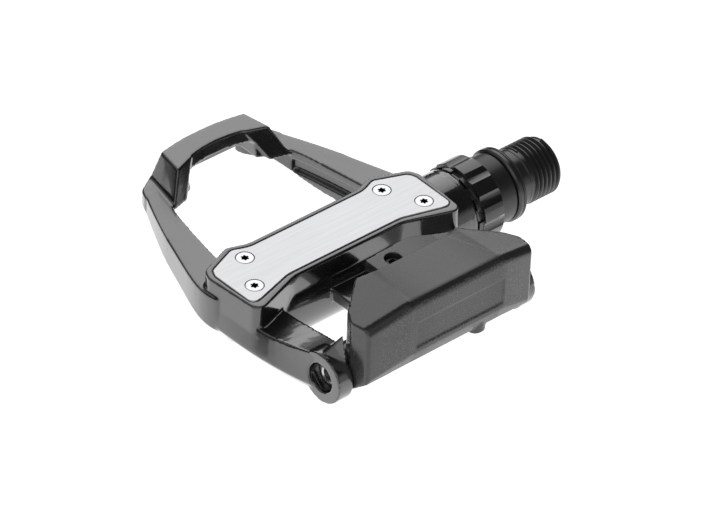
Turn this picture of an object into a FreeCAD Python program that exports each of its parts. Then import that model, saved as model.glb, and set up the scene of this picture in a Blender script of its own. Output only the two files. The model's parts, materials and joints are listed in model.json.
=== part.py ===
"""Left-hand road clipless pedal: cast body, sprung rear claw and cartridge-bearing spindle.

Frame, in millimetres: +X runs along the spindle towards the crank, +Y points to the toe hoop,
+Z points up to the shoe.  The origin is the middle of the wear plate's top, where the shoe rests.
The shapes are drawn about the spindle axis, and save() lowers them so that the plate's top is at 0.
"""
import FreeCAD, Part
import math
import os
from FreeCAD import Placement, Rotation, Vector

# ---- driving dimensions ------------------------------------------------------------------
PLATFORM_Z = 11.0          # top of the wear plate above the spindle axis
PLATE_THICKNESS = 1.2
SCREW_HEAD_RADIUS = 2.15
SCREW_LENGTH = 3.1         # stops above the bearing bore
HOOP_TOP_Z = 13.9
HOOP_LIP_THICKNESS = 3.1
HOOP_FRONT_Y = 44.1
HOOP_BOTTOM_Z = 6.6
HOOP_DRAFT = 1.9             # how far its rear face slopes back over its height

NECK_RADIUS = 9.6
NECK_END_X = 37.8
HOUSING_OUTER_X = -27.5
BORE_RADIUS = 8.0
BORE_END_X = -25.5

PIVOT_Y = -31.7            # claw pivot, behind and a little above the spindle
PIVOT_Z = 3.9
PIN_RADIUS = 2.5
EAR_OUTER_X = 28.5
EAR_INNER_X = 24.4
EAR_RADIUS = 6.2

CLAW_HALF_WIDTH = 24.1       # over the cheeks, between the ears
CLAW_TOP_Z = 22.0
CLAW_BOTTOM_Z = 8.2
CLAW_SKIRT_Z = 5.0           # the strip under the rear face leans in down to here
CLAW_REAR_Y = -42.0
CLAW_FRONT_Y = -27.8
CLAW_FACET_X = (-12.4, 15.2)   # upright edges between the three flats of its rear face
CLAW_REAR_ROUND = 2.2
CLAW_LIP_THICKNESS = 2.2
CLAW_FLOOR_Z = 15.0
CHEEK_THICKNESS = 7.6
STOP_LOW_Z = 3.7             # foot of the round stop inside the claw's rear wall

THREAD_MAJOR_RADIUS = 7.144    # 9/16 inch by 20 pedal thread, drawn at its major diameter
THREAD_DEPTH = 0.68
THREAD_START_X = 56.6
SPINDLE_END_X = 65.6
FLANGE_RADIUS = 8.95
FLANGE_START_X = 50.8
FLANGE_END_X = 53.1
JOURNAL_RADIUS = 5.5           # needle bearing runs here
BALL_SEAT_RADIUS = 4.0
BEARING_WIDTH = 5.0
RING_THREAD_RADIUS = 8.5       # thread of the lock ring in the neck
RING_RADIUS = 10.2
RING_END_X = 45.2
RING_LUGS = 10
LUG_TURN = 2.5                 # degrees from the top, towards the claw
BALL_RADIUS = 1.2
BALL_PITCH_RADIUS = 6.0
BALL_COUNT = 13
RUNNING_CLEARANCE = 0.04

PIN_RECESS = 3.2           # depth of the pin's head in the ear
BUSH_WALL = 0.8
CHEEK_RADIUS = 4.9
TONGUE_THICKNESS = 2.6
SCREW_BOSS_DEPTH = 4.2
SCREW_SEAT_DEPTH = 2.6
TENSION_X = 1.8
TENSION_Y = -20.3
WIRE_RADIUS = 0.75
SPRING_RADIUS = 4.0
SPRING_PITCH = 1.56
SPRING_TURNS = 3.5
SPRING_INNER_X = 3.9
SHELF_LOW_Z = PIVOT_Z - SPRING_RADIUS + WIRE_RADIUS + 0.05

NEEDLE_RADIUS = 0.97
NEEDLE_PITCH_RADIUS = 6.5
NEEDLE_COUNT = 18
NEEDLE_SHELL_X = (22.0, 33.6)

SCREW_PLACES = ((-19.9, 4.0), (19.9, 4.0), (-24.6, -4.9), (24.6, -4.9))
X_AXIS = Vector(1, 0, 0)
Z_AXIS = Vector(0, 0, 1)


# ---- helpers -------------------------------------------------------------------------------
def save(name, shape):
    """Moves a node into the frame, writes it, and says how many solids it holds."""
    shape.translate(Vector(0, 0, -PLATFORM_Z))
    shape.exportStep(f"parts/{name}.step")
    print(f"{name:24s} solids {len(shape.Solids):3d} volume {shape.Volume:9.1f} valid {shape.isValid()}")


def box(x_range, y_range, z_range):
    """A block between two corners."""
    return Part.makeBox(x_range[1] - x_range[0], y_range[1] - y_range[0], z_range[1] - z_range[0],
                        Vector(x_range[0], y_range[0], z_range[0]))


def rod(radius, x_start, x_end, y=0.0, z=0.0):
    """A round bar along X."""
    return Part.makeCylinder(radius, x_end - x_start, Vector(x_start, y, z), X_AXIS)


def tube(outer, inner, x_start, x_end, y=0.0, z=0.0):
    """A round tube along X."""
    return rod(outer, x_start, x_end, y, z).cut(rod(inner, x_start - 1, x_end + 1, y, z))


def turned(profile, y=0.0, z=0.0):
    """A solid of revolution about an axis along X, from (x, radius) points."""
    points = [Vector(x, y, z + radius) for x, radius in profile]
    face = Part.Face(Part.makePolygon(points + [points[0]]))
    return face.revolve(Vector(0, y, z), X_AXIS, 360)


def turned_z(profile, x, y):
    """A solid of revolution about a vertical axis at x, y, from (radius, z) points."""
    points = [Vector(x + radius, y, z) for radius, z in profile]
    face = Part.Face(Part.makePolygon(points + [points[0]]))
    return face.revolve(Vector(x, y, 0), Z_AXIS, 360)


def rounded_outline(corners, z=0.0):
    """A closed flat outline from (x, y, corner radius), with every corner an arc."""
    places = [Vector(x, y, z) for x, y, _ in corners]
    edges = []
    ends = []
    for index, (_, _, radius) in enumerate(corners):
        here = places[index]
        back = (places[index - 1] - here).normalize()
        on = (places[(index + 1) % len(corners)] - here).normalize()
        half_angle = back.getAngle(on) / 2
        reach = radius / math.tan(half_angle)
        middle = here + (back + on).normalize() * (radius / math.sin(half_angle) - radius)
        ends.append((here + back * reach, middle, here + on * reach))
    for index, (start, middle, end) in enumerate(ends):
        edges.append(Part.Arc(start, middle, end).toShape())
        following = ends[(index + 1) % len(ends)][0]
        edges.append(Part.LineSegment(end, following).toShape())
    return Part.Wire(edges)


def mirrored_corners(right_half):
    """The whole outline from its corners at +X, listed from front to rear."""
    left_half = [(-x, y, radius) for x, y, radius in reversed(right_half)]
    return list(right_half) + left_half


def slab(wire, z_from, z_to):
    """Extrudes a flat wire drawn at z = 0."""
    shape = Part.Face(wire).extrude(Vector(0, 0, z_to - z_from))
    shape.translate(Vector(0, 0, z_from))
    return shape


def section(points):
    """A closed polygon through (x, y, z) points."""
    places = [Vector(*point) for point in points]
    return Part.makePolygon(places + [places[0]])


def loft(sections, ruled=False):
    """A solid through closed polygons."""
    return Part.makeLoft([section(points) for points in sections], True, ruled)


def above_plane(point, normal, size=80.0):
    """A large block that fills the side of a plane that its normal points to."""
    block = Part.makeBox(size, size, size, Vector(-size / 2, -size / 2, 0))
    turn = Rotation(Z_AXIS, Vector(*normal))
    block.Placement = Placement(Vector(*point), turn)
    return block


def both_sides(shape):
    """The shape and its mirror image across the middle of the pedal."""
    return [shape, shape.mirror(Vector(0, 0, 0), X_AXIS)]


def union(shapes):
    """One solid from many, with no seams left in its flat faces."""
    whole = shapes[0].multiFuse(shapes[1:])
    return whole.removeSplitter()


# ---- wear plate ------------------------------------------------------------------------------
def plate_corners():
    """Bone-shaped outline: flared ends with a narrow waist."""
    right_half = [(16.6, 6.4, 8.0), (20.6, 8.0, 2.0), (28.4, 4.9, 2.0), (29.2, 3.0, 2.0),
                  (29.0, -9.6, 1.6), (26.2, -9.2, 2.0), (16.4, -6.3, 8.0)]
    return mirrored_corners(right_half)


def screw_cutter(x, y, extra):
    """Countersunk hole for a plate screw, opened up all round by the extra."""
    top = PLATFORM_Z + 0.01
    head = SCREW_HEAD_RADIUS + 0.05 + extra
    shank = 1.5 + extra
    return turned_z([(0, top), (head, top), (head, top - 0.35), (shank, top - 1.3),
                     (shank, top - SCREW_LENGTH - 0.2), (0, top - SCREW_LENGTH - 0.2)], x, y)


def wear_plate():
    plate = slab(rounded_outline(plate_corners()), PLATFORM_Z - PLATE_THICKNESS, PLATFORM_Z)
    top_edges = [edge for edge in plate.Edges if edge.BoundBox.ZMin > PLATFORM_Z - 0.01]
    plate = plate.makeFillet(0.25, top_edges)
    for x, y in SCREW_PLACES:
        plate = plate.cut(screw_cutter(x, y, 0.02))
    return plate


def torx_recess(x, y):
    """Six-lobed socket in a screw head."""
    lobes = []
    for lobe in range(6):
        angle = math.radians(60 * lobe)
        centre = Vector(x + 0.72 * math.cos(angle), y + 0.72 * math.sin(angle), PLATFORM_Z - 0.8)
        lobes.append(Part.makeCylinder(0.26, 2, centre))
    core = Part.makeCylinder(0.72, 2, Vector(x, y, PLATFORM_Z - 0.8))
    return core.multiFuse(lobes)


def plate_screws():
    screws = []
    for x, y in SCREW_PLACES:
        top = PLATFORM_Z - 0.03
        outline = [(0, top), (SCREW_HEAD_RADIUS - 0.2, top), (SCREW_HEAD_RADIUS, top - 0.12),
                   (SCREW_HEAD_RADIUS, top - 0.35), (1.45, top - 1.25), (1.45, top - SCREW_LENGTH),
                   (0, top - SCREW_LENGTH)]
        screws.append(turned_z(outline, x, y).cut(torx_recess(x, y)))
    return Part.Compound(screws)


# ---- cast body -------------------------------------------------------------------------------
def front_arm():
    """Arm on the crank side: it narrows, thins and leans in towards the hoop."""
    stations = [(0.0, 20.5, 31.0, -5.0, -2.6, 7.0), (8.0, 21.6, 30.9, -3.2, -2.0, 7.0),
                (16.0, 20.6, 28.4, -1.4, -1.2, 7.0), (24.0, 19.2, 25.7, -0.7, -0.7, 7.1),
                (31.0, 17.6, 23.0, 0.9, 0.4, 7.2), (37.0, 15.0, 20.4, 3.4, 1.4, 7.3),
                (41.6, 12.4, 18.2, 5.2, 2.4, 7.4)]
    sections = []
    for y, x_in, x_out, low_in, low_out, z_high in stations:
        sections.append([(x_in, y, low_in), (x_out - 1.2, y, low_out), (x_out, y, low_out + 1.2),
                         (x_out, y, z_high), (x_in, y, z_high)])
    return loft(sections)


def arm_toe():
    """Rounded front end of an arm, under the foot of the hoop."""
    wire = rounded_outline([(11.0, 41.6, 0.5), (10.4, 44.1, 0.5), (14.2, 44.0, 3.0),
                            (18.9, 41.2, 3.0), (20.2, 38.0, 0.5), (13.0, 38.6, 0.5)])
    return slab(wire, 3.4, 7.35)


def hoop_leg():
    """Sloping leg between an arm and the top of the hoop."""
    top = [(7.5, 37.2, HOOP_TOP_Z), (13.3, 35.1, HOOP_TOP_Z), (12.0, 42.7, HOOP_TOP_Z),
           (7.5, 43.5, HOOP_TOP_Z)]
    foot = [(12.2, 33.0, 6.0), (17.3, 31.6, 6.0), (14.8, 44.0, 6.0), (9.8, 44.2, 6.0)]
    return loft([foot, top], ruled=True)


def hoop_outline(draft, z):
    """Outline of the hoop's top; the draft moves its rear edge back."""
    half_front = 12.0
    half_rear = 13.3
    rear_y = 35.1 - draft
    front = Part.Arc(Vector(-half_front, 42.7, z), Vector(0, HOOP_FRONT_Y, z), Vector(half_front, 42.7, z))
    rear = Part.Arc(Vector(half_rear, rear_y, z), Vector(0, rear_y + 3.4, z), Vector(-half_rear, rear_y, z))
    right = Part.LineSegment(Vector(half_front, 42.7, z), Vector(half_rear, rear_y, z))
    left = Part.LineSegment(Vector(-half_rear, rear_y, z), Vector(-half_front, 42.7, z))
    return Part.Wire([front.toShape(), right.toShape(), rear.toShape(), left.toShape()])


def hoop_bridge():
    """Top of the hoop, with a lip that overhangs the space for the cleat's nose."""
    outlines = [hoop_outline(HOOP_DRAFT, HOOP_BOTTOM_Z), hoop_outline(0.0, HOOP_TOP_Z)]
    bridge = Part.makeLoft(outlines, True, True)
    nose_space = box((-9.6, 9.6), (30.0, 41.2), (HOOP_BOTTOM_Z - 3, HOOP_TOP_Z - HOOP_LIP_THICKNESS))
    return bridge.cut(nose_space)


def ear_fin():
    """Pointed fin on the ear; it slopes out from beside the claw down to the pin's hole."""
    inner = [(EAR_INNER_X, -26.5, 4.5), (EAR_INNER_X, -34.1, 15.4), (EAR_INNER_X, -37.2, 2.4),
             (EAR_INNER_X, -34.0, -1.4)]
    fin_outer_x = EAR_OUTER_X - 0.2
    outer = [(fin_outer_x, -27.6, 6.5), (fin_outer_x, -31.0, 9.4), (fin_outer_x, -35.8, 5.6),
             (fin_outer_x, -34.2, 0.4)]
    return loft([inner, outer], ruled=True)


def rear_arm():
    """Arm from the spindle housing back to the claw pivot, with its ear."""
    stations = [(2.0, 20.4, 31.2, 30.4, -5.0, -2.6, 6.6), (-8.0, 20.2, 31.2, 29.6, -4.4, -2.4, 5.3),
                (-16.0, 20.2, 30.9, 28.9, -3.0, -2.0, 5.7), (-24.0, 20.8, 30.0, 28.6, -2.2, -1.6, 7.4),
                (PIVOT_Y + 2.0, 22.0, 29.0, 28.4, -1.2, -1.2, 9.3)]
    sections = []
    for y, x_in, x_out, x_top, low_in, low_out, z_high in stations:
        sections.append([(x_in, y, low_in), (x_out - 1.4, y, low_out), (x_out, y, low_out + 2.0),
                         (x_top, y, z_high), (x_in, y, z_high)])
    cheek_room = rod(CHEEK_RADIUS + 0.6, 15.0, EAR_INNER_X, PIVOT_Y, PIVOT_Z)
    claw_room = box((15.0, EAR_INNER_X), (-50.0, PIVOT_Y + 1.5), (-8.0, 20.0)).fuse(cheek_room)
    ear = rod(EAR_RADIUS, EAR_INNER_X, EAR_OUTER_X, PIVOT_Y, PIVOT_Z).fuse(ear_fin())
    outer_trim = box((EAR_OUTER_X, 40.0), (-50.0, PIVOT_Y + 2.5), (-10.0, 20.0))
    return loft(sections).cut(claw_room).cut(outer_trim).fuse(ear)


def bar_outline(draft, z):
    """Outline of the bar; draft moves its ends outwards."""
    right_half = [(16.0, 7.8, 8.0), (20.9, 9.6, 2.6), (29.8 + draft, 6.0, 2.6), (30.8 + draft, 3.4, 2.6),
                  (29.6 + draft, -12.4, 2.0), (26.6, -11.6, 2.6), (15.6, -7.7, 8.0)]
    return rounded_outline(mirrored_corners(right_half), z)


def bar_block():
    """Upper part of the bar, which carries the wear plate in a shallow tray."""
    outlines = [bar_outline(0.15, 2.0), bar_outline(0.0, PLATFORM_Z - 0.05)]
    block = Part.makeLoft(outlines, True, True)
    tray = rounded_outline(plate_corners())
    return block.cut(slab(tray, PLATFORM_Z - PLATE_THICKNESS, PLATFORM_Z + 1))


def spindle_housing():
    """Round housing along the spindle, domed at its outer end."""
    return turned([(HOUSING_OUTER_X, 0), (HOUSING_OUTER_X, 5.6), (HOUSING_OUTER_X + 0.9, 6.5),
                   (HOUSING_OUTER_X + 4.3, 7.1), (HOUSING_OUTER_X + 5.0, 9.2),
                   (HOUSING_OUTER_X + 6.6, NECK_RADIUS), (NECK_END_X - 0.6, NECK_RADIUS),
                   (NECK_END_X, NECK_RADIUS - 0.6), (NECK_END_X, 0)])


def housing_bore():
    """Bore for the bearings, wider and threaded at the crank end for the lock ring."""
    return turned([(BORE_END_X, 0), (BORE_END_X, 5.4), (-21.6, 5.4), (-21.6, BORE_RADIUS),
                   (34.0, BORE_RADIUS), (34.0, RING_THREAD_RADIUS), (NECK_END_X + 1, RING_THREAD_RADIUS),
                   (NECK_END_X + 1, 0)])


def spring_shelf():
    """Web behind the housing; the lower legs of the springs press up against it."""
    return box((-6.0, 6.0), (-19.5, -5.0), (SHELF_LOW_Z, SHELF_LOW_Z + 3.0))


def inner_channel():
    """Groove along the inner face of a front arm, which lightens the casting."""
    stations = [(11.0, 21.3), (16.0, 20.6), (24.0, 19.2), (32.0, 17.3)]
    sections = []
    for y, x_in in stations:
        x_deep = x_in + 1.5
        sections.append([(x_in - 1.0, y, 0.9), (x_deep, y, 1.9), (x_deep, y, 4.3), (x_in - 1.0, y, 5.1)])
    return loft(sections)


def pedal_body():
    pieces = [spindle_housing(), bar_block(), hoop_bridge(), spring_shelf()]
    for make in (front_arm, arm_toe, hoop_leg, rear_arm):
        pieces += both_sides(make())
    body = union(pieces)
    cutters = [housing_bore()]
    cutters += both_sides(inner_channel())
    for x, y in SCREW_PLACES:
        cutters.append(screw_cutter(x, y, 0.0))
    cutters += both_sides(rod(PIN_RADIUS, EAR_INNER_X - 1, EAR_OUTER_X + 1, PIVOT_Y, PIVOT_Z))
    cutters += both_sides(rod(3.5, EAR_OUTER_X - PIN_RECESS, EAR_OUTER_X + 1, PIVOT_Y, PIVOT_Z))
    key_notch = box((NECK_END_X - 0.8, NECK_END_X - 0.35), (-0.7, 0.7), (NECK_RADIUS - 0.6, NECK_RADIUS + 1))
    cutters += turned_copies(key_notch, lug_angles(LUG_TURN))
    cutters.append(tube(NECK_RADIUS + 1, NECK_RADIUS - 0.35, 35.6, 36.1))
    for cutter in cutters:
        body = body.cut(cutter)
    return body


# ---- spindle and its bearings ----------------------------------------------------------------
def spindle():
    """Steel axle: thread, wrench flange, collar, journals and the nut thread."""
    outline = [(-25.0, 0), (-25.0, 3.0), (-24.6, 3.4), (-21.4, 3.4), (-21.4, BALL_SEAT_RADIUS),
               (-9.6, BALL_SEAT_RADIUS), (-9.0, 4.6), (18.0, 5.3), (20.6, JOURNAL_RADIUS),
               (34.4, JOURNAL_RADIUS), (35.2, 6.2), (FLANGE_START_X, 6.2), (FLANGE_START_X, 8.5),
               (FLANGE_START_X + 0.45, FLANGE_RADIUS), (51.9, FLANGE_RADIUS), (52.0, 8.8),
               (52.15, 8.8), (52.25, FLANGE_RADIUS), (52.45, FLANGE_RADIUS), (52.55, 8.8),
               (52.7, 8.8), (52.8, FLANGE_RADIUS - 0.15), (FLANGE_END_X, 8.45), (FLANGE_END_X, 7.0),
               (FLANGE_END_X + 0.3, 6.85), (THREAD_START_X - 0.3, 6.85),
               (THREAD_START_X, THREAD_MAJOR_RADIUS), (SPINDLE_END_X - 0.6, THREAD_MAJOR_RADIUS),
               (SPINDLE_END_X, THREAD_MAJOR_RADIUS - THREAD_DEPTH), (SPINDLE_END_X, 0)]
    shaft = turned(outline)
    return shaft.cut(hex_socket(SPINDLE_END_X - 5.5, SPINDLE_END_X + 1, 6.0))


def hex_socket(x_start, x_end, across_flats):
    """Six-sided prism along X, of the given width across flats."""
    radius = across_flats / math.sqrt(3)
    corners = []
    for corner in range(6):
        angle = math.radians(60 * corner)
        corners.append((x_start, radius * math.cos(angle), radius * math.sin(angle)))
    return Part.Face(section(corners)).extrude(Vector(x_end - x_start, 0, 0))


def ball_groove(x_middle):
    """Ring that the balls run in, a little larger than the balls."""
    centre = Vector(x_middle, 0, 0)
    return Part.makeTorus(BALL_PITCH_RADIUS, BALL_RADIUS + RUNNING_CLEARANCE, centre, X_AXIS)


def inner_race(x_start):
    ring = tube(5.2, BALL_SEAT_RADIUS, x_start, x_start + BEARING_WIDTH)
    return ring.cut(ball_groove(x_start + BEARING_WIDTH / 2))


def outer_race(x_start):
    ring = tube(BORE_RADIUS, 6.8, x_start, x_start + BEARING_WIDTH)
    return ring.cut(ball_groove(x_start + BEARING_WIDTH / 2))


def bearing_balls(x_start):
    balls = []
    for ball in range(BALL_COUNT):
        angle = 2 * math.pi * ball / BALL_COUNT
        centre = Vector(x_start + BEARING_WIDTH / 2, BALL_PITCH_RADIUS * math.cos(angle),
                        BALL_PITCH_RADIUS * math.sin(angle))
        balls.append(Part.makeSphere(BALL_RADIUS, centre))
    return Part.Compound(balls)


def needle_shell():
    """Drawn cup that holds the needle rollers, with a lip at each end."""
    low, high = NEEDLE_SHELL_X
    return turned([(low, 6.0), (low, BORE_RADIUS), (high, BORE_RADIUS), (high, 6.0), (high - 0.5, 6.0),
                   (high - 0.5, 7.5), (low + 0.5, 7.5), (low + 0.5, 6.0)])


def needle_rollers():
    low, high = NEEDLE_SHELL_X
    rollers = []
    for roller in range(NEEDLE_COUNT):
        angle = 2 * math.pi * roller / NEEDLE_COUNT
        rollers.append(rod(NEEDLE_RADIUS, low + 0.8, high - 0.8, NEEDLE_PITCH_RADIUS * math.cos(angle),
                           NEEDLE_PITCH_RADIUS * math.sin(angle)))
    return Part.Compound(rollers)


def spacer_sleeve():
    """Resin sleeve that keeps the needle cup and the ball bearings apart."""
    return tube(BORE_RADIUS - 0.05, 6.9, -11.1, 21.9)


def spindle_nut():
    nut = hex_socket(-24.4, -21.9, 8.8)
    return nut.cut(rod(3.4, -26, -20))


def nut_washer():
    return tube(4.9, 3.4, -21.85, -21.45)


def lug_angles(turn):
    """Angles about the spindle at which the lock ring's features repeat, starting at the given turn."""
    return [turn + 360.0 / RING_LUGS * lug for lug in range(RING_LUGS)]


def turned_copies(shape, angles):
    """Copies of a shape drawn above the spindle, each turned about the spindle's axis."""
    copies = []
    for angle in angles:
        copy = shape.copy()
        copy.rotate(Vector(0, 0, 0), X_AXIS, angle)
        copies.append(copy)
    return copies


def lock_ring():
    """Lugged ring that screws into the neck and holds the bearing unit in the body."""
    start_x = NECK_END_X + 0.05
    ring = turned([(34.1, 6.5), (34.1, RING_THREAD_RADIUS), (start_x, RING_THREAD_RADIUS), (start_x, 9.5),
                   (39.0, 9.5), (39.15, RING_RADIUS), (RING_END_X - 0.5, RING_RADIUS),
                   (RING_END_X, RING_RADIUS - 0.5), (RING_END_X, 8.1), (41.4, 8.1), (41.4, 6.5)])
    valley = Part.makeCylinder(2.9, 8, Vector(38.5, 0, RING_RADIUS + 2.35), X_AXIS)
    pocket = box((start_x - 1, 39.05), (-1.5, 1.5), (8.8, 11.0))
    cutters = turned_copies(valley, lug_angles(LUG_TURN + 180.0 / RING_LUGS))
    cutters += turned_copies(pocket, lug_angles(LUG_TURN))
    for cutter in cutters:
        ring = ring.cut(cutter)
    return ring


def lip_seal():
    """Rubber seal between the lock ring and the collar of the spindle."""
    return turned([(41.5, 6.25), (41.5, 8.05), (44.9, 8.05), (44.9, 6.6), (43.4, 6.25)])


def axle_ring():
    """Dark ring pressed on the spindle next to the wrench flange."""
    return turned([(45.6, 6.2), (45.6, 7.9), (46.1, 8.4), (50.3, 8.4), (50.7, 8.1), (50.7, 6.2)])


# ---- claw, its pivot, springs and tension screw -------------------------------------------------
def claw_plan():
    """Outline of the claw from above; the middle of its rear face is off to the crank side."""
    side = [(9.6, CLAW_FRONT_Y, 4.0), (14.6, CLAW_FRONT_Y + 1.6, 1.6), (22.6, -32.9, 1.6),
            (24.3, -36.2, 1.2), (23.6, -41.2, 0.9)]
    far_side = [(-x, y, radius) for x, y, radius in reversed(side)]
    rear = [(CLAW_FACET_X[1], CLAW_REAR_Y, 0.3), (CLAW_FACET_X[0], CLAW_REAR_Y, 0.3)]
    return rounded_outline(side + rear + far_side)


def rounding_cuts(point, first, second, radius, cuts=6):
    """Blocks that take an edge down to a round; it runs through the point between two faces."""
    first = Vector(*first).normalize()
    second = Vector(*second).normalize()
    centre = Vector(*point) - (first + second) * (radius / (1 + first.dot(second)))
    blocks = []
    for cut in range(1, cuts + 1):
        angle = cut * first.getAngle(second) / (cuts + 1)
        normal = Rotation(first.cross(second), math.degrees(angle)).multVec(first)
        blocks.append(above_plane(centre + normal * radius, normal))
    return blocks


def claw_tongue():
    """Shelf in front of the jaw, which carries the tension screw."""
    wire = rounded_outline([(-3.6, -33.0, 0.4), (-3.6, -16.9, 0.6), (9.2, -16.3, 3.0),
                            (18.0, -20.8, 1.0), (18.0, -33.0, 0.4)])
    shelf = slab(wire, CLAW_FLOOR_Z - TONGUE_THICKNESS, CLAW_FLOOR_Z)
    boss_foot = Vector(TENSION_X, TENSION_Y, CLAW_FLOOR_Z - SCREW_BOSS_DEPTH)
    return shelf.fuse(Part.makeCylinder(3.4, SCREW_BOSS_DEPTH, boss_foot))


def claw_cheek():
    """Side of the claw on the pivot pin, with its lower edge running up to the rear face."""
    x_in = CLAW_HALF_WIDTH - CHEEK_THICKNESS
    boss = rod(CHEEK_RADIUS, x_in, CLAW_HALF_WIDTH, PIVOT_Y, PIVOT_Z)
    side = [(x_in, PIVOT_Y + 3.4, PIVOT_Z + 3.5), (x_in, PIVOT_Y + 1.0, CLAW_BOTTOM_Z + 3.0),
            (x_in, CLAW_REAR_Y + 1.2, CLAW_BOTTOM_Z + 3.0), (x_in, CLAW_REAR_Y + 1.2, CLAW_SKIRT_Z),
            (x_in, PIVOT_Y - CHEEK_RADIUS * 0.64, PIVOT_Z - CHEEK_RADIUS * 0.77), (x_in, PIVOT_Y, PIVOT_Z)]
    web = Part.Face(section(side)).extrude(Vector(CHEEK_THICKNESS, 0, 0))
    return boss.fuse(web.common(slab(claw_plan(), -5.0, CLAW_TOP_Z)))


def rear_claw():
    """Resin claw that snaps over the rear edge of the cleat."""
    block = slab(claw_plan(), CLAW_BOTTOM_Z, CLAW_TOP_Z)
    rear_cuts = rounding_cuts((0, CLAW_REAR_Y, CLAW_TOP_Z), (0, -1, 0), (0, 0, 1), CLAW_REAR_ROUND)
    for side, corner_x in zip((-1, 1), CLAW_FACET_X):
        run = (abs(corner_x) - 9.7) / (CLAW_FRONT_Y - CLAW_REAR_Y)
        slope = (side * 0.192, 0.192 * run, 1.0)
        block = block.cut(above_plane((side * 9.7, CLAW_FRONT_Y, CLAW_TOP_Z), slope))
        rear_normal = (side * 0.8, -(23.6 - abs(corner_x)), 0)
        corner = (corner_x, CLAW_REAR_Y, CLAW_TOP_Z)
        rear_cuts += rounding_cuts(corner, rear_normal, slope, CLAW_REAR_ROUND)
    for cutter in rear_cuts:
        block = block.cut(cutter)
    skirt = slab(claw_plan(), CLAW_SKIRT_Z, CLAW_BOTTOM_Z + 0.2)
    skirt = skirt.cut(above_plane((0, CLAW_REAR_Y, CLAW_BOTTOM_Z), (0, -0.94, -0.34)))
    shape = union([block, skirt, claw_tongue()] + both_sides(claw_cheek()))
    jaw = box((-40, 40), (-32.0, 0), (CLAW_FLOOR_Z, CLAW_TOP_Z - CLAW_LIP_THICKNESS))
    cavity_half = CLAW_HALF_WIDTH - CHEEK_THICKNESS
    shelf_low_z = CLAW_FLOOR_Z - TONGUE_THICKNESS
    cavity = box((-cavity_half, cavity_half), (CLAW_REAR_Y + 2.4, -23.9), (-5.0, shelf_low_z))
    recess = box((-10.5, 14.8), (CLAW_REAR_Y - 2, CLAW_REAR_Y + 0.35), (9.4, 16.4))
    for cutter in (jaw, cavity, recess):
        shape = shape.cut(cutter)
    stop_height = shelf_low_z - STOP_LOW_Z + 0.5
    shape = shape.fuse(Part.makeCylinder(2.3, stop_height, Vector(9.3, CLAW_REAR_Y + 2.8, STOP_LOW_Z)))
    shape = shape.cut(rod(PIN_RADIUS + BUSH_WALL, -40, 40, PIVOT_Y, PIVOT_Z))
    shape = shape.cut(Part.makeCylinder(1.5, 8, Vector(TENSION_X, TENSION_Y, CLAW_FLOOR_Z - 6)))
    seat = Vector(TENSION_X, TENSION_Y, CLAW_FLOOR_Z - SCREW_SEAT_DEPTH)
    return shape.cut(Part.makeCylinder(1.95, 4, seat))


def claw_bushes():
    """Plain bushes pressed in the cheeks of the claw."""
    x_in = CLAW_HALF_WIDTH - CHEEK_THICKNESS
    bore = PIN_RADIUS + RUNNING_CLEARANCE
    bush = tube(PIN_RADIUS + BUSH_WALL, bore, x_in, CLAW_HALF_WIDTH, PIVOT_Y, PIVOT_Z)
    return Part.Compound(both_sides(bush))


def claw_pivot_pin():
    """Through pin with a flanged hollow head, recessed in the outer ear."""
    seat_x = EAR_OUTER_X - PIN_RECESS
    return turned([(-seat_x - 1.0, 1.5), (-seat_x - 1.2, 1.9), (-seat_x - 1.2, 2.2), (-seat_x - 0.6, 2.3),
                   (-seat_x - 0.5, 3.1), (-seat_x, 3.2), (-seat_x, PIN_RADIUS), (seat_x, PIN_RADIUS),
                   (seat_x, 2.0), (seat_x + 1.4, 2.0), (seat_x + 1.4, 0), (-seat_x + 2.0, 0),
                   (-seat_x + 2.0, 1.5)], PIVOT_Y, PIVOT_Z)


def pin_clip():
    """Snap ring on the crank-side end of the pivot pin."""
    seat_x = EAR_OUTER_X - PIN_RECESS
    ring = tube(3.3, 2.0, seat_x + 0.1, seat_x + 0.9, PIVOT_Y, PIVOT_Z)
    gap = box((seat_x, seat_x + 2), (PIVOT_Y - 0.7, PIVOT_Y + 0.7), (PIVOT_Z, PIVOT_Z + 5))
    return ring.cut(gap)


def torsion_spring(side):
    """Spring on the pivot pin: one leg presses up on the shelf, the other down on the tension plate."""
    length = SPRING_PITCH * SPRING_TURNS
    helix = Part.makeHelix(SPRING_PITCH, length, SPRING_RADIUS, 0, True)
    start = Vector(SPRING_RADIUS, 0, 0)
    slope = SPRING_PITCH / (2 * math.pi * SPRING_RADIUS)
    circle = Part.Wire(Part.makeCircle(WIRE_RADIUS, start, Vector(0, -1, slope)))
    coil = Part.Wire(helix).makePipeShell([circle], True, True)
    shelf_leg = Part.makeCylinder(WIRE_RADIUS, 14.0, start, Vector(0, 1, -slope))
    plate_leg = Part.makeCylinder(WIRE_RADIUS, 11.4, Vector(-SPRING_RADIUS, 0, length), Vector(0, 1, slope))
    spring = coil.fuse(shelf_leg).fuse(plate_leg)
    spring.rotate(Vector(0, 0, 0), Vector(0, 1, 0), 90)
    spring.translate(Vector(SPRING_INNER_X, PIVOT_Y, PIVOT_Z))
    return spring if side > 0 else spring.mirror(Vector(0, 0, 0), X_AXIS)


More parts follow.
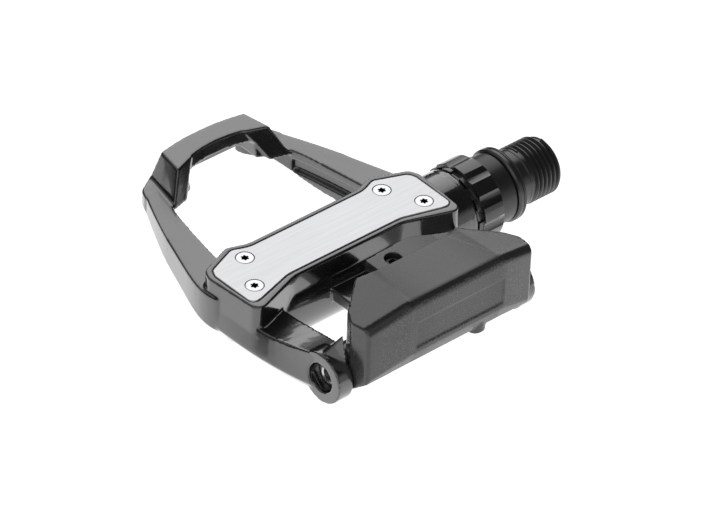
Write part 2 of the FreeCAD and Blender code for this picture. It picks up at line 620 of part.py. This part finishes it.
def tension_plate():
    """Steel plate and nut under the spring legs, which the tension screw draws up."""
    z_low = PIVOT_Z + SPRING_RADIUS - WIRE_RADIUS - 0.05 - 1.6
    front_y = TENSION_Y + 3.0
    wing_y = TENSION_Y + 0.3
    rear_y = TENSION_Y - 3.6
    outline = rounded_outline([(-2.6, front_y, 0.8), (6.2, front_y, 0.8), (6.2, wing_y, 0.4),
                               (10.8, wing_y, 0.8), (10.8, rear_y, 0.8), (-10.8, rear_y, 0.8),
                               (-10.8, wing_y, 0.8), (-2.6, wing_y, 0.4)])
    plate = slab(outline, z_low, z_low + 1.6)
    return plate.cut(Part.makeCylinder(1.5, 20, Vector(TENSION_X, TENSION_Y, 0)))


def tension_screw():
    """Socket-head screw, reached through the hole in the claw's shelf."""
    socket = 2.0 / math.sqrt(3)
    head_low = CLAW_FLOOR_Z - SCREW_SEAT_DEPTH
    screw = turned_z([(0, head_low + 1.5), (1.7, head_low + 1.5), (1.85, head_low + 1.35), (1.85, head_low),
                      (1.46, head_low), (1.46, 5.0), (1.1, 4.6), (0, 4.6)], TENSION_X, TENSION_Y)
    corners = []
    for corner in range(6):
        angle = math.radians(60 * corner)
        corners.append((TENSION_X + socket * math.cos(angle), TENSION_Y + socket * math.sin(angle),
                        head_low + 0.4))
    return screw.cut(Part.Face(section(corners)).extrude(Vector(0, 0, 3)))


def main():
    os.makedirs("parts", exist_ok=True)
    save("pedal_body", pedal_body())
    save("wear_plate", wear_plate())
    save("plate_screws", plate_screws())
    save("spindle", spindle())
    for number, x_start in ((1, -21.3), (2, -16.2)):
        save(f"ball_bearing_{number}_inner_race", inner_race(x_start))
        save(f"ball_bearing_{number}_outer_race", outer_race(x_start))
        save(f"ball_bearing_{number}_balls", bearing_balls(x_start))
    save("needle_shell", needle_shell())
    save("needle_rollers", needle_rollers())
    save("spacer_sleeve", spacer_sleeve())
    save("spindle_nut", spindle_nut())
    save("nut_washer", nut_washer())
    save("lock_ring", lock_ring())
    save("lip_seal", lip_seal())
    save("axle_ring", axle_ring())
    save("rear_claw", rear_claw())
    save("claw_bushes", claw_bushes())
    save("claw_pivot_pin", claw_pivot_pin())
    save("pin_clip", pin_clip())
    save("torsion_spring_outer", torsion_spring(-1))
    save("torsion_spring_inner", torsion_spring(1))
    save("tension_plate", tension_plate())
    save("tension_screw", tension_screw())


main()
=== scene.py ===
# %% [markdown]
# # A clipless road pedal
# A cast black body carries a bright wear plate, a toe hoop at the front and a sprung claw at the
# rear, and turns on a steel spindle.  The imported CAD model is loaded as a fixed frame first, and
# every piece made here is drawn in metres in that same frame: +X to the crank, +Y to the hoop,
# +Z up, with the origin on top of the wear plate.

# %% Load the frame
import bpy
import bmesh
import json
import math
from mathutils import Matrix, Vector


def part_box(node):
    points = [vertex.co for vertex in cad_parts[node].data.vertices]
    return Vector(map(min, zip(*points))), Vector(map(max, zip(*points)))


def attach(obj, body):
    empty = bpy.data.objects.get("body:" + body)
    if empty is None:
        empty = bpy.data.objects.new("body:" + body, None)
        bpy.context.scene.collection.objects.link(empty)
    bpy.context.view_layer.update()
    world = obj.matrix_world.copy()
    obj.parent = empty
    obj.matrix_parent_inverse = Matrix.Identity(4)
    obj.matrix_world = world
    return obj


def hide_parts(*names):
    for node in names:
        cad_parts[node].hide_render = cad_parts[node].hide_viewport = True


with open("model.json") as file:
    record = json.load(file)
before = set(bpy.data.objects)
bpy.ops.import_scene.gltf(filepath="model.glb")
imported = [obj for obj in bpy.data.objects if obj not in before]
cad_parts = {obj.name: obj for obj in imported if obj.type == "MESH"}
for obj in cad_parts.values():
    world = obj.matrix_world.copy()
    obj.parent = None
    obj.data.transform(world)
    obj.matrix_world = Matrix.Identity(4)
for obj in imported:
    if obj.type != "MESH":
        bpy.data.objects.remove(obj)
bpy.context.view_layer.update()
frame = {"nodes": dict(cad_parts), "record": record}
MM = 0.001
SPINDLE_Z = -11.0 * MM          # the spindle's axis lies this far below the wear plate's top

# %% [markdown]
# ## Shader maths
# A material is a board of nodes.  `Signal` wraps one output socket, and its operators add Math
# nodes, so that a pattern reads as a formula.  `Board.node` makes every other node from its type,
# its settings and its inputs.  `Board.finish` feeds only sockets that can be baked into images.

# %% Signals and boards
class Signal:
    """One output of a node, which Python's operators can work on."""

    def __init__(self, board, socket):
        self.board = board
        self.socket = socket

    def maths(self, operation, first, second):
        return self.board.node("ShaderNodeMath", {"operation": operation}, {0: first, 1: second})

    def __add__(self, other):
        return self.maths("ADD", self, other)

    def __radd__(self, other):
        return self.maths("ADD", other, self)

    def __sub__(self, other):
        return self.maths("SUBTRACT", self, other)

    def __rsub__(self, other):
        return self.maths("SUBTRACT", other, self)

    def __mul__(self, other):
        return self.maths("MULTIPLY", self, other)

    def __rmul__(self, other):
        return self.maths("MULTIPLY", other, self)

    def above(self, edge, width):
        """Rises from 0 to 1 over the width that follows the edge."""
        return self.board.node("ShaderNodeMapRange", {"interpolation_type": "SMOOTHSTEP"},
                               {"Value": self, "From Min": edge, "From Max": edge + width})


class Board:
    """A material under construction, with one Principled shader."""

    def __init__(self, name, **constants):
        self.material = bpy.data.materials.new(name)
        self.material.use_nodes = True
        self.tree = self.material.node_tree
        self.shader = self.tree.nodes["Principled BSDF"]
        for socket, value in constants.items():
            self.shader.inputs[socket.replace("_", " ")].default_value = value
        place = self.tree.nodes.new("ShaderNodeTexCoord")
        self.place = Signal(self, place.outputs["Object"])

    def node(self, kind, settings, inputs, output=0):
        node = self.tree.nodes.new(kind)
        for key, value in settings.items():
            setattr(node, key, value)
        for key, value in inputs.items():
            if isinstance(value, Signal):
                self.tree.links.new(value.socket, node.inputs[key])
            else:
                node.inputs[key].default_value = value
        return Signal(self, node.outputs[output])

    def stretched(self, x, y, z):
        """Object coordinates, scaled by its own factor along each axis."""
        return self.node("ShaderNodeMapping", {}, {"Vector": self.place, "Scale": (x, y, z)})

    def along(self, axis):
        """One object coordinate, in metres."""
        return self.node("ShaderNodeSeparateXYZ", {}, {0: self.place}, "XYZ".index(axis))

    def noise(self, scale, detail=2.0, vector=None):
        """Soft random pattern from 0 to 1, with about `scale` features to the metre."""
        return self.node("ShaderNodeTexNoise", {}, {"Vector": vector or self.place, "Scale": scale,
                                                    "Detail": detail})

    def blend(self, mask, low, high):
        """One colour where the mask is 0, and another where it is 1."""
        return self.node("ShaderNodeMix", {"data_type": "RGBA"},
                         {0: mask, 6: (*low, 1.0), 7: (*high, 1.0)}, 2)

    def finish(self, colour, rough=None, height=None, depth=0.0, coat=None):
        """Feeds the shader: colour, roughness, a relief of the given depth, and coat weight."""
        feeds = {"Base Color": colour, "Roughness": rough, "Coat Weight": coat}
        if height:
            feeds["Normal"] = self.node("ShaderNodeBump", {},
                                        {"Height": height, "Distance": depth, "Strength": 1.0})
        for socket, signal in feeds.items():
            if signal:
                self.tree.links.new(signal.socket, self.shader.inputs[socket])
        return self.material


# %% [markdown]
# ## Gloss black paint
# The casting is painted gloss black.  Real paint on a casting is never a mirror: it has a soft
# orange peel a millimetre or two across, faint haze, and tiny dust specks.  A clear coat over a
# black base gives the depth, and two noises drive the peel and the haze.

# %% Paint on the casting
def body_paint():
    board = Board("body_paint", IOR=1.78, Coat_Weight=1.0, Coat_Roughness=0.06, Coat_IOR=1.55)
    haze = board.noise(160.0, 4.0)
    peel = board.noise(520.0, 1.0)
    dust = board.noise(5200.0, 1.0).above(0.70, 0.06)
    colour = board.blend(dust * 0.5, (0.010, 0.010, 0.0108), (0.05, 0.05, 0.052))
    return board.finish(colour, 0.13 + haze * 0.14 + dust * 0.1, peel + haze * 0.3, depth=0.012 * MM)


# %% [markdown]
# ## Brushed steel
# The wear plate is ground along its length, which is the spindle's direction.  Stretching a noise
# along X draws the grinding lines.  The same lines feed the colour, the roughness and a very low
# relief, and a few longer scratches run the same way.  The screws are the same bright steel, but a
# mask on the height paints the bottoms of their sockets near black as painted shade, and dull.

# %% Steel of the wear plate and the screws
SCREW_SHADE_Z = -0.34 * MM       # painted shade: the screws are painted near black below this height, in their sockets


def plate_steel():
    board = Board("plate_steel", Metallic=1.0)
    fine = board.noise(1.0, 3.0, board.stretched(90.0, 5200.0, 5200.0))
    broad = board.noise(1.0, 2.0, board.stretched(28.0, 900.0, 900.0))
    scratch = board.noise(1.0, 1.0, board.stretched(45.0, 2400.0, 2400.0)).above(0.69, 0.05)
    tone = fine * 0.6 + broad * 0.4
    colour = board.blend(tone.above(0.25, 0.50), (0.50, 0.505, 0.515), (0.64, 0.644, 0.652))
    return board.finish(colour, 0.26 + tone * 0.22 - scratch * 0.1,
                        fine + scratch * 0.8, depth=0.006 * MM)


def screw_steel():
    board = Board("screw_steel", Metallic=1.0)
    smear = board.noise(700.0, 3.0)
    # Painted shade: below the socket height the colour goes near black, and the steel dull.
    out_of_socket = board.along("Z").above(SCREW_SHADE_Z, 0.14 * MM)
    colour = board.blend(out_of_socket, (0.015, 0.015, 0.016), (0.66, 0.665, 0.675))
    return board.finish(colour, 0.55 - out_of_socket * 0.33 + smear * 0.12, smear, depth=0.005 * MM)


# %% [markdown]
# ## Turned and blackened steel
# The spindle was turned on a lathe and then blackened.  The tool leaves very fine rings, which
# are a noise stretched across the axis: quick changes along X, slow changes around it.

# %% Black steel of the spindle
def turned_black(name, base, rough, ring_depth):
    board = Board(name, Metallic=0.35, IOR=1.8, Coat_Weight=0.25, Coat_Roughness=0.18)
    rings = board.noise(1.0, 3.0, board.stretched(4200.0, 60.0, 60.0))
    stain = board.noise(230.0, 4.0)
    bright = tuple(value * 1.9 for value in base)
    colour = board.blend(rings * 0.45 + stain * 0.4, base, bright)
    return board.finish(colour, rough + stain * 0.16 + rings * 0.06, rings + stain * 0.3, depth=ring_depth)


# %% [markdown]
# ## Moulded resins
# The claw is moulded in a carbon-filled resin.  Its rear face has a slightly sparkling grain,
# from a mould that was spark-eroded there, so a mask on Y keeps most of it to that face.  Its top
# is smoother, and duller towards the sides than in the middle, which a mask on the distance from
# the top's middle gives.  The ring is glossier glass-filled nylon, and the seal is plain rubber.

# %% Resins of the claw and the ring, and rubber of the seal
CLAW_REAR_Y = -41.8 * MM        # the claw's rear face lies behind this
CLAW_TOP_MIDDLE_X = 1.4 * MM    # middle of the claw's top facet, which is a little off centre
DULL_FROM = 3.0 * MM            # the top begins to dull this far from its middle
DULL_TO = 12.15 * MM            # and is dull as far as this


def claw_resin():
    board = Board("claw_resin", IOR=1.56, Coat_Roughness=0.13, Coat_IOR=1.5)
    rear = 1.0 - board.along("Y").above(CLAW_REAR_Y, 0.6 * MM)
    grain = board.noise(3400.0, 2.0)
    specks = board.noise(3000.0, 2.0).above(0.50, 0.12)
    cloud = board.noise(60.0, 4.0)
    flow = board.noise(1.0, 3.0, board.stretched(40.0, 420.0, 420.0))
    from_middle = board.node("ShaderNodeMath", {"operation": "ABSOLUTE"},
                             {0: board.along("X") - CLAW_TOP_MIDDLE_X})
    dull = from_middle.above(DULL_FROM, 11.0 * MM) * (1.0 - from_middle.above(DULL_TO, 0.9 * MM))
    tone = specks * (0.15 + rear * 0.85) * 0.6 + cloud * 0.25 + flow * 0.2
    colour = board.blend(tone, (0.008, 0.008, 0.0085), (0.105, 0.105, 0.108))
    rough = 0.13 + cloud * 0.05 + specks * 0.06 + dull * 0.12 + rear * 0.16 - flow * 0.02
    coat = 0.22 - dull * 0.22 * (1.0 - rear)
    relief = grain * 0.7 + specks * (0.2 + rear * 0.8) + flow * 0.25
    return board.finish(colour, rough, relief, depth=0.022 * MM, coat=coat)


def ring_resin():
    board = Board("ring_resin", IOR=1.6, Coat_Weight=0.6, Coat_Roughness=0.1)
    flow = board.noise(1.0, 3.0, board.stretched(260.0, 900.0, 900.0))
    specks = board.noise(4200.0, 1.0).above(0.68, 0.08)
    colour = board.blend(specks * 0.4 + flow * 0.2, (0.009, 0.009, 0.0095), (0.04, 0.04, 0.042))
    return board.finish(colour, 0.16 + flow * 0.14 + specks * 0.1,
                        flow + specks * 0.4, depth=0.010 * MM)


def seal_rubber():
    board = Board("seal_rubber")
    grain = board.noise(2600.0, 3.0)
    bloom = board.noise(300.0, 3.0)
    colour = board.blend(bloom, (0.008, 0.008, 0.008), (0.026, 0.025, 0.024))
    return board.finish(colour, 0.58 + bloom * 0.2, grain, depth=0.020 * MM)


# %% [markdown]
# ## Bright and dark steels inside
# The pivot pin is polished and a little scuffed, the bearings are ground and oiled, and the
# springs are oil-blackened wire.  One function makes all three from a tone and a roughness.

# %% Steels of the pin, the bearings and the springs
def plain_steel(name, base, rough, streak):
    board = Board(name, Metallic=1.0)
    lines = board.noise(1.0, 3.0, board.stretched(*streak))
    film = board.noise(420.0, 4.0)
    dull = tuple(value * 0.62 for value in base)
    colour = board.blend(lines * 0.5 + film * 0.4, base, dull)
    return board.finish(colour, rough + film * 0.16 + lines * 0.08, lines, depth=0.005 * MM)


FINISHES = {
    "body_paint": body_paint(),
    "plate_steel": plate_steel(),
    "screw_steel": screw_steel(),
    "spindle_black": turned_black("spindle_black", (0.020, 0.020, 0.021), 0.20, 0.012 * MM),
    "axle_black": turned_black("axle_black", (0.008, 0.008, 0.0085), 0.34, 0.008 * MM),
    "claw_resin": claw_resin(),
    "ring_resin": ring_resin(),
    "seal_rubber": seal_rubber(),
    "pin_chrome": plain_steel("pin_chrome", (0.70, 0.70, 0.71), 0.10, (3000.0, 200.0, 200.0)),
    "bearing_steel": plain_steel("bearing_steel", (0.62, 0.62, 0.64), 0.14, (2600.0, 120.0, 120.0)),
    "spring_steel": plain_steel("spring_steel", (0.105, 0.105, 0.112), 0.30, (900.0, 900.0, 900.0)),
}
print("finishes", len(FINISHES))

# %% [markdown]
# ## Dressing the CAD nodes
# The record says which slot each node takes.  Giving every node its slot's material first means
# that nothing is ever left plain, and the pieces made later take the same materials.

# %% Materials on every node
slot_of = {part["node"]: part["material_slot"] for part in frame["record"]["subparts"]}
for node_name, node in frame["nodes"].items():
    node.data.materials.clear()
    node.data.materials.append(FINISHES[slot_of[node_name]])
print("nodes dressed", len(slot_of))

# %% [markdown]
# ## From a CAD node to a smooth piece
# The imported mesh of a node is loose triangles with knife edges.  A copy of it is merged, and flat
# neighbours are dissolved back into whole faces.  A casting or a moulding is then remade from
# small voxels and relaxed, which rounds every edge a little, as a mould and paint do, and then
# thinned to half its triangles.  A ring keeps its crisp faces and only gets a narrow bevel.

# %% Copies, bevels and rounded castings
MERGE_WITHIN = 0.002 * MM       # corners nearer than this become one corner
FLAT_WITHIN = 0.6               # faces that meet at less than this, in degrees, become one face
body_of = {node: body for body, nodes in frame["record"]["behaviour"]["bodies"].items() for node in nodes}


def merged_copy(node_name):
    """A bmesh of a node, with its doubles merged and its flat faces whole."""
    shape = bmesh.new()
    shape.from_mesh(frame["nodes"][node_name].data)
    bmesh.ops.remove_doubles(shape, verts=shape.verts, dist=MERGE_WITHIN)
    bmesh.ops.dissolve_limit(shape, angle_limit=math.radians(FLAT_WITHIN), verts=shape.verts,
                             edges=shape.edges, delimit={"NORMAL"})
    return shape


def new_piece(name, shape, node_name, smooth_below=40.0):
    """Makes an object of a bmesh, in place of a node: same body, and the material of the node's slot.

    Edges that turn by less than smooth_below, in degrees, are shaded smooth.
    """
    mesh = bpy.data.meshes.new(name)
    shape.to_mesh(mesh)
    shape.free()
    piece = bpy.data.objects.new(name, mesh)
    bpy.context.scene.collection.objects.link(piece)
    mesh.materials.append(FINISHES[slot_of[node_name]])
    mesh.polygons.foreach_set("use_smooth", [True] * len(mesh.polygons))
    mesh.set_sharp_from_angle(angle=math.radians(smooth_below))
    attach(piece, body_of[node_name])
    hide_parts(node_name)
    return piece


def edge_bevel(piece, width, segments, angle):
    """Softens every edge that is sharper than the angle, in degrees."""
    bevel = piece.modifiers.new("edge", "BEVEL")
    bevel.width = width
    bevel.segments = segments
    bevel.limit_method = "ANGLE"
    bevel.angle_limit = math.radians(angle)
    return bevel


def settle(piece):
    """Applies a piece's modifiers, and says how many triangles it holds."""
    graph = bpy.context.evaluated_depsgraph_get()
    mesh = bpy.data.meshes.new_from_object(piece.evaluated_get(graph))
    piece.modifiers.clear()
    piece.data = mesh
    count = sum(len(face.vertices) - 2 for face in mesh.polygons)
    print(piece.name, "triangles", count)


def round_over(piece, edge, voxel, passes):
    """Bevels a piece's edges, remakes it from voxels, relaxes it, and halves its triangles."""
    edge_bevel(piece, edge, segments=2, angle=28.0)
    remesh = piece.modifiers.new("remesh", "REMESH")
    remesh.mode = "VOXEL"
    remesh.voxel_size = voxel
    remesh.use_smooth_shade = True
    relax = piece.modifiers.new("relax", "SMOOTH")
    relax.factor = 0.5
    relax.iterations = passes
    thin = piece.modifiers.new("thin", "DECIMATE")
    thin.ratio = 0.5
    settle(piece)


# %% [markdown]
# ## The casting
# The body is one aluminium casting: a round housing for the spindle, a bar that carries the wear
# plate, two arms to the toe hoop, and two arms back to the claw's pivot.  Voxels of three tenths
# of a millimetre keep the rim round the plate, and a few passes of relaxing round its edges.

# %% Cast body
casting = new_piece("casting", merged_copy("pedal_body"), "pedal_body")
round_over(casting, edge=0.28 * MM, voxel=0.30 * MM, passes=5)

# %% [markdown]
# ## The claw
# The claw is a moulded block with large flat facets, and the long edge where its top meets the
# rear face is rounder than the rest.  Its voxels and its bevel are finer than the casting's, so
# that the ridges between the facets stay sharp.

# %% Rear claw
claw = new_piece("claw_moulding", merged_copy("rear_claw"), "rear_claw")
round_over(claw, edge=0.22 * MM, voxel=0.25 * MM, passes=6)

# %% [markdown]
# ## The spindle
# The spindle is turned from bar, so one half-outline spun about its axis makes it.  A six-sided
# cutter then opens the key's socket in its end.  The crank thread is a ridge of triangular
# section, swept as a helix: a spin that also moves along the axis by the pitch on every turn.
# The outline and the thread are written in millimetres.
# This is a left pedal, so the helix is left-handed.

# %% Spindle with its thread
POLE_WITHIN = 0.001 * MM        # the corners that land on the axis merge, which closes the ends


def spun(profile, steps=96):
    """Spins (x, radius) points about the spindle's axis into a closed turned shape."""
    shape = bmesh.new()
    points = [shape.verts.new((x * MM, 0.0, SPINDLE_Z + radius * MM)) for x, radius in profile]
    edges = [shape.edges.new(pair) for pair in zip(points, points[1:])]
    bmesh.ops.spin(shape, geom=points + edges, cent=(0.0, 0.0, SPINDLE_Z), axis=(1.0, 0.0, 0.0),
                   angle=math.tau, steps=steps, use_merge=True)
    bmesh.ops.remove_doubles(shape, verts=shape.verts, dist=POLE_WITHIN)
    bmesh.ops.recalc_face_normals(shape, faces=shape.faces)
    return shape


THREAD_PITCH = 1.27
THREAD_CREST = 7.144
THREAD_ROOT = 6.46
THREAD_RUN_OUT = 0.75           # from the thread's last turn to the spindle's end
RIDGE_FOOT = 0.1                # how far the ridge's feet go into the core
SOCKET_INNER_X = 60.1
SOCKET_FLATS = 6.0
SPINDLE_END_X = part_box("spindle")[1][0] / MM


def thread_ridge(shape):
    """Adds the crank thread's ridge, as a left-hand helix along the spindle's end."""
    turns = 6
    steps_per_turn = 60
    first_x = SPINDLE_END_X - THREAD_RUN_OUT - turns * THREAD_PITCH
    section = [(-0.52, THREAD_ROOT - RIDGE_FOOT), (-0.10, THREAD_CREST),
               (0.10, THREAD_CREST), (0.52, THREAD_ROOT - RIDGE_FOOT)]
    corners = [shape.verts.new(((first_x + x) * MM, 0.0, SPINDLE_Z + radius * MM)) for x, radius in section]
    face = shape.faces.new(corners)
    bmesh.ops.spin(shape, geom=[face], cent=(0.0, 0.0, SPINDLE_Z), axis=(1.0, 0.0, 0.0),
                   dvec=(THREAD_PITCH * MM / steps_per_turn, 0.0, 0.0), angle=-math.tau * turns,
                   steps=turns * steps_per_turn)


inner_end = [(-25.0, 0.0), (-25.0, 3.0), (-24.6, 3.4), (-21.4, 3.4)]
journals = [(-21.4, 4.0), (-9.6, 4.0), (-9.0, 4.6), (18.0, 5.3), (20.6, 5.5), (34.4, 5.5),
            (35.2, 6.2), (50.8, 6.2)]
flange = [(50.8, 8.5), (51.0, 8.8), (51.25, 8.95), (51.9, 8.95),
          (52.0, 8.78), (52.15, 8.78), (52.25, 8.95), (52.42, 8.95), (52.52, 8.78), (52.67, 8.78),
          (52.77, 8.9), (52.9, 8.75), (53.1, 8.4)]
shoulder = [(53.1, 7.1), (53.25, 6.95), (53.6, 6.9), (55.9, 6.9), (56.0, 6.75), (56.15, 6.75),
            (56.3, 6.9), (56.9, 6.9)]
thread_core = [(57.3, THREAD_ROOT), (64.8, THREAD_ROOT)]
crank_end = [(65.0, 6.6), (65.35, 6.55), (65.6, 6.3), (65.6, 3.9), (65.3, 3.5), (65.3, 0.0)]
spindle_outline = inner_end + journals + flange + shoulder + thread_core + crank_end


def key_socket_cut(shape, inner_x, across_flats):
    """Cuts a six-sided socket into the spindle's end, from its face in to inner_x."""
    depth = 8.0
    radius = across_flats / math.sqrt(3.0) * MM
    upright_to_x = Matrix.Rotation(math.radians(90.0), 4, "Y")
    place = Matrix.Translation(((inner_x + depth / 2.0) * MM, 0.0, SPINDLE_Z))
    cutter_shape = bmesh.new()
    bmesh.ops.create_cone(cutter_shape, cap_ends=True, segments=6, radius1=radius, radius2=radius,
                          depth=depth * MM, matrix=place @ upright_to_x)
    pair = []
    for name, part in (("spindle_blank", shape), ("socket_cutter", cutter_shape)):
        mesh = bpy.data.meshes.new(name)
        part.to_mesh(mesh)
        pair.append(bpy.data.objects.new(name, mesh))
        bpy.context.scene.collection.objects.link(pair[-1])
    cut = pair[0].modifiers.new("socket", "BOOLEAN")
    cut.operation = "DIFFERENCE"
    cut.solver = "EXACT"
    cut.object = pair[1]
    graph = bpy.context.evaluated_depsgraph_get()
    shape.clear()
    shape.from_mesh(pair[0].evaluated_get(graph).to_mesh())
    for piece in pair:
        bpy.data.objects.remove(piece)
    cutter_shape.free()


spindle_shape = spun(spindle_outline)
key_socket_cut(spindle_shape, SOCKET_INNER_X, SOCKET_FLATS)
thread_ridge(spindle_shape)
bmesh.ops.recalc_face_normals(spindle_shape, faces=spindle_shape.faces)
spindle = new_piece("turned_spindle", spindle_shape, "spindle", smooth_below=28.0)
print("spindle faces", len(spindle.data.polygons))

# %% [markdown]
# ## Rings on the spindle
# The lock ring screws into the casting's neck, and its ten lugs take a splined tool.  The dark
# ring beside the wrench flange is plain.  Both keep the CAD shape and get a fine edge bevel.

# %% Lock ring and axle ring
for name, node_name, width in (("lugged_ring", "lock_ring", 0.16 * MM),
                               ("spacer_ring", "axle_ring", 0.12 * MM)):
    ring = new_piece(name, merged_copy(node_name), node_name, smooth_below=30.0)
    edge_bevel(ring, width, segments=3, angle=32.0).harden_normals = True
    print(name, "faces", len(ring.data.polygons))

# %% [markdown]
# ## Floor and light
# The pedal hangs free, as it would on its crank, over a plain white floor.  One large softbox
# stands behind and above it, which draws the broad grey sheen on the black tops.  Most of what
# the other faces reflect is dark, and that gives the crisp dark edge lines.  The floor gives off
# some light of its own, so that it stays white where the softbox hardly reaches it.

# %% Floor
FLOOR_Z = -75.0 * MM
FLOOR_HALF_WIDTH = 0.4
floor_shape = bmesh.new()
bmesh.ops.create_grid(floor_shape, x_segments=1, y_segments=1, size=FLOOR_HALF_WIDTH,
                      matrix=Matrix.Translation((0, 0, FLOOR_Z)))
floor_mesh = bpy.data.meshes.new("floor")
floor_shape.to_mesh(floor_mesh)
floor_shape.free()
floor = bpy.data.objects.new("floor", floor_mesh)
bpy.context.scene.collection.objects.link(floor)
floor_board = Board("floor_white", Roughness=0.9, Emission_Color=(1.0, 1.0, 1.0, 1.0), Emission_Strength=0.72)
floor_mesh.materials.append(floor_board.finish(floor_board.blend(floor_board.noise(3.0), (0.90, 0.90, 0.90),
                                                                 (0.93, 0.93, 0.93))))

# %% Softbox
SOFTBOX_PLACE = Vector((0.85, 0.95, 1.05))
SOFTBOX_SIZE = 1.6
SOFTBOX_RADIANCE = 1.12

light = bpy.data.lights.new("back_softbox", "AREA")
light.size = SOFTBOX_SIZE
light.energy = SOFTBOX_RADIANCE * math.pi * SOFTBOX_SIZE * SOFTBOX_SIZE
lamp = bpy.data.objects.new("back_softbox", light)
lamp.location = SOFTBOX_PLACE
lamp.rotation_euler = SOFTBOX_PLACE.to_track_quat("Z", "Y").to_euler()
bpy.context.scene.collection.objects.link(lamp)

# %% [markdown]
# ## World
# The world is white where the camera sees it.  In reflections it is dark, but for a soft fall-off
# round the softbox, a low glow from behind the claw, and two soft glows that light the tops for
# someone who walks round to the other sides.  The first glow never quite goes out, and that is
# the little light which the dark parts get.

# %% World
# Each glow's direction, where it starts and is full as a cosine, and its two brightnesses.
GLOWS = [
    ((0.45, 0.62, 0.64), 0.78, 1.0, 0.035, 0.6),
    ((0.5, -0.85, -0.12), 0.86, 0.98, 0.0, 0.6),
    ((-0.6, -0.62, 0.45), 0.5, 0.85, 0.0, 0.9),
    ((-0.45, 0.55, 0.7), 0.8, 0.97, 0.0, 0.55)]

world = bpy.data.worlds.new("studio")
bpy.context.scene.world = world
world.use_nodes = True
tree = world.node_tree
tree.nodes.clear()
where = tree.nodes.new("ShaderNodeTexCoord")


def glow(direction, start, full, low, high):
    """Brightness that rises from low to high as a ray turns to face the direction."""
    facing = tree.nodes.new("ShaderNodeVectorMath")
    facing.operation = "DOT_PRODUCT"
    facing.inputs[1].default_value = Vector(direction).normalized()
    tree.links.new(where.outputs["Generated"], facing.inputs[0])
    shade = tree.nodes.new("ShaderNodeMapRange")
    shade.interpolation_type = "SMOOTHSTEP"
    for socket, value in (("From Min", start), ("From Max", full), ("To Min", low), ("To Max", high)):
        shade.inputs[socket].default_value = value
    tree.links.new(facing.outputs["Value"], shade.inputs["Value"])
    return shade.outputs[0]


total = glow(*GLOWS[0])
for settings in GLOWS[1:]:
    both = tree.nodes.new("ShaderNodeMath")
    both.operation = "ADD"
    tree.links.new(total, both.inputs[0])
    tree.links.new(glow(*settings), both.inputs[1])
    total = both.outputs[0]
rays = tree.nodes.new("ShaderNodeLightPath")
dim = tree.nodes.new("ShaderNodeBackground")
white = tree.nodes.new("ShaderNodeBackground")
white.inputs["Color"].default_value = (1.0, 1.0, 1.0, 1.0)
pick = tree.nodes.new("ShaderNodeMixShader")
out = tree.nodes.new("ShaderNodeOutputWorld")
for start, end in ((total, dim.inputs["Strength"]), (rays.outputs["Is Camera Ray"], pick.inputs[0]),
                   (dim.outputs[0], pick.inputs[1]), (white.outputs[0], pick.inputs[2]),
                   (pick.outputs[0], out.inputs["Surface"])):
    tree.links.new(start, end)

# %% [markdown]
# ## Camera
# The camera stands about 1.1 metres away, behind the pedal and to its left, and looks down at 37
# degrees.  A long lens from there keeps the plate's two long edges nearly parallel.  The standard
# view transform leaves white as white.

# %% Camera
CAMERA_PLACE = Vector((-587.42, -654.47, 663.68)) * MM
CAMERA_AZIMUTH = math.radians(-42.428)
CAMERA_ELEVATION = math.radians(37.300)
CAMERA_ROLL = math.radians(2.348)

view = bpy.data.cameras.new("camera")
view.sensor_width = 36.0
view.lens = 249.36
view.clip_start = 0.05
camera = bpy.data.objects.new("camera", view)
turn = (Matrix.Rotation(CAMERA_AZIMUTH, 4, "Z") @ Matrix.Rotation(math.pi / 2 - CAMERA_ELEVATION, 4, "X")
        @ Matrix.Rotation(CAMERA_ROLL, 4, "Z"))
camera.matrix_world = Matrix.Translation(CAMERA_PLACE) @ turn
bpy.context.scene.collection.objects.link(camera)
bpy.context.scene.camera = camera
bpy.context.scene.view_settings.view_transform = "Standard"

# %% [markdown]
# ## Last update
# The view layer is brought up to date.  The box round everything made here should be nearly the
# same as the box round the CAD model.

# %% Last update
bpy.context.view_layer.update()
